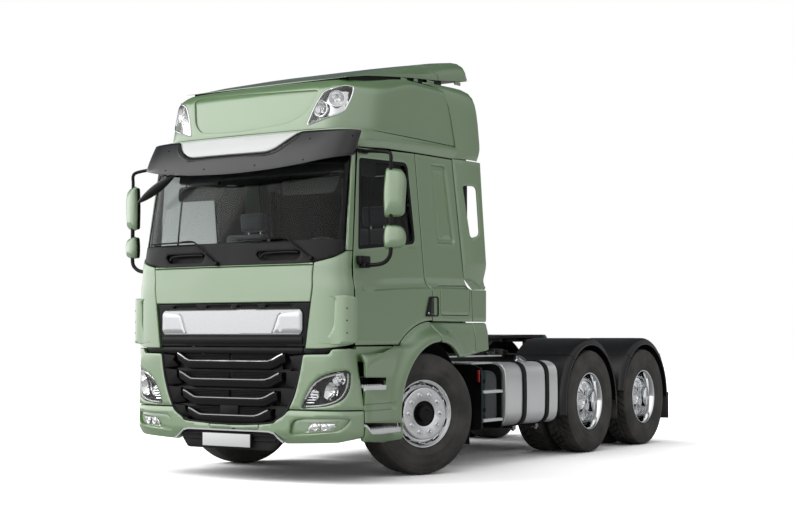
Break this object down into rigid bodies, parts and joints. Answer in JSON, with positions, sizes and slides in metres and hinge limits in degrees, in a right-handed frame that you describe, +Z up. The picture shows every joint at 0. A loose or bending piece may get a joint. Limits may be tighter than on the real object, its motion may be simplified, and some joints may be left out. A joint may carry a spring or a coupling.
{
  "type": "tractor unit",
  "caption": "Cab-over road tractor with a high-roof sleeper cab that tilts, steered front axle, twin-tyred drive axles and a coupling for a trailer.",
  "frame": {"origin": "middle of the footprint rectangle, at floor level", "axes": "+Z up, +X to the vehicle's left, the vehicle faces -Y"},
  "size_m": [3.1292, 6.4, 3.8568],
  "materials": {
    "body_paint": "metallic gloss",
    "chassis": "satin",
    "castings": "painted",
    "black_plastic": "matte",
    "gloss_black": "gloss",
    "tinted_acrylic": "gloss",
    "lamp": "clear",
    "glass": "clear",
    "polished_alloy": "polished",
    "tread_plate": "satin",
    "tyre": "matte",
    "inner_trim": "matte",
    "cloth": "woven"
  },
  "bodies": {
    "chassis": {"frame_rails": "chassis", "crossmembers": "chassis", "axles": "castings", "suspension": "castings", "powertrain": "castings", "bumper": "body_paint", "grille": "black_plastic", "lamps": "lamp", "step_panels": "body_paint", "arch_liners": "black_plastic", "rear_mudguards": "gloss_black", "fuel_tank": "polished_alloy", "step_box": "black_plastic", "exhaust_box": "black_plastic", "coupling_base": "chassis", "deck_plate": "tread_plate"},
    "cab": {"cab_floor": "inner_trim", "cab_sides": "body_paint", "cab_back": "body_paint", "cab_front": "body_paint", "cab_roof": "body_paint", "corner_panels": "body_paint", "windscreen": "glass", "sun_visor": "tinted_acrylic", "roof_lamps": "lamp", "roof_wing": "body_paint", "side_collars": "body_paint", "dashboard": "inner_trim", "seats": "cloth", "bunk": "cloth"},
    "front_panel": {"front_panel": "body_paint"},
    "door_left": {"door_left": "body_paint", "door_glass_left": "glass", "mirror_left": "body_paint"},
    "locker_lid_left": {"locker_lid_left": "body_paint"},
    "knuckle_left": {"knuckle_left": "castings"},
    "front_wheel_left": {"wheel_front_left": "polished_alloy", "tyre_front_left": "tyre"},
    "drive1_wheel_left": {"wheel_drive1_left": "polished_alloy", "tyre_drive1_left": "tyre"},
    "drive2_wheel_left": {"wheel_drive2_left": "polished_alloy", "tyre_drive2_left": "tyre"},
    "door_right": {"door_right": "body_paint", "door_glass_right": "glass", "mirror_right": "body_paint"},
    "locker_lid_right": {"locker_lid_right": "body_paint"},
    "knuckle_right": {"knuckle_right": "castings"},
    "front_wheel_right": {"wheel_front_right": "polished_alloy", "tyre_front_right": "tyre"},
    "drive1_wheel_right": {"wheel_drive1_right": "polished_alloy", "tyre_drive1_right": "tyre"},
    "drive2_wheel_right": {"wheel_drive2_right": "polished_alloy", "tyre_drive2_right": "tyre"},
    "fifth_wheel": {"fifth_wheel": "castings"}
  },
  "joints": [
    {"name": "cab_tilt", "type": "hinge", "parent": "chassis", "child": "cab", "pos_m": [0, -3.09, 0.95], "axis": [1, 0, 0], "range_deg": [0, 60]},
    {"name": "steer_left", "type": "hinge", "parent": "chassis", "child": "knuckle_left", "pos_m": [0.9, -1.79, 0.535], "axis": [0, 0, 1], "range_deg": [-16, 60]},
    {"name": "steer_right", "type": "hinge", "parent": "chassis", "child": "knuckle_right", "pos_m": [-0.9, -1.79, 0.535], "axis": [0, 0, 1], "range_deg": [-16, 60]},
    {"name": "front_wheel_left_spin", "type": "hinge", "parent": "knuckle_left", "child": "front_wheel_left", "pos_m": [1.02424, -1.8402, 0.535], "axis": [0.9272, -0.3746, 0], "continuous": true},
    {"name": "front_wheel_right_spin", "type": "hinge", "parent": "knuckle_right", "child": "front_wheel_right", "pos_m": [-1.02424, -1.7398, 0.535], "axis": [0.9272, -0.3746, 0], "continuous": true},
    {"name": "drive1_wheel_left_spin", "type": "hinge", "parent": "chassis", "child": "drive1_wheel_left", "pos_m": [0.925, 1.23, 0.535], "axis": [1, 0, 0], "continuous": true},
    {"name": "drive1_wheel_right_spin", "type": "hinge", "parent": "chassis", "child": "drive1_wheel_right", "pos_m": [-0.925, 1.23, 0.535], "axis": [1, 0, 0], "continuous": true},
    {"name": "drive2_wheel_left_spin", "type": "hinge", "parent": "chassis", "child": "drive2_wheel_left", "pos_m": [0.925, 2.6, 0.535], "axis": [1, 0, 0], "continuous": true},
    {"name": "drive2_wheel_right_spin", "type": "hinge", "parent": "chassis", "child": "drive2_wheel_right", "pos_m": [-0.925, 2.6, 0.535], "axis": [1, 0, 0], "continuous": true},
    {"name": "door_left_hinge", "type": "hinge", "parent": "cab", "child": "door_left", "pos_m": [1.125, -2.93, 1.4], "axis": [0, 0, -1], "range_deg": [0, 70]},
    {"name": "door_right_hinge", "type": "hinge", "parent": "cab", "child": "door_right", "pos_m": [-1.125, -2.93, 1.4], "axis": [0, 0, 1], "range_deg": [0, 70]},
    {"name": "front_panel_hinge", "type": "hinge", "parent": "cab", "child": "front_panel", "pos_m": [0, -3.185, 1.78], "axis": [-1, 0, 0], "range_deg": [0, 80]},
    {"name": "locker_lid_left_hinge", "type": "hinge", "parent": "cab", "child": "locker_lid_left", "pos_m": [1.14, -1.377, 1.618], "axis": [0, -1, 0], "range_deg": [0, 85]},
    {"name": "locker_lid_right_hinge", "type": "hinge", "parent": "cab", "child": "locker_lid_right", "pos_m": [-1.14, -1.377, 1.618], "axis": [0, 1, 0], "range_deg": [0, 85]},
    {"name": "fifth_wheel_pitch", "type": "hinge", "parent": "chassis", "child": "fifth_wheel", "pos_m": [0, 1.565, 1.125], "axis": [1, 0, 0], "range_deg": [-12, 12]}
  ],
  "couplings": [
    {"joint": "steer_right", "follows": "steer_left", "ratio": 1}
  ]
}
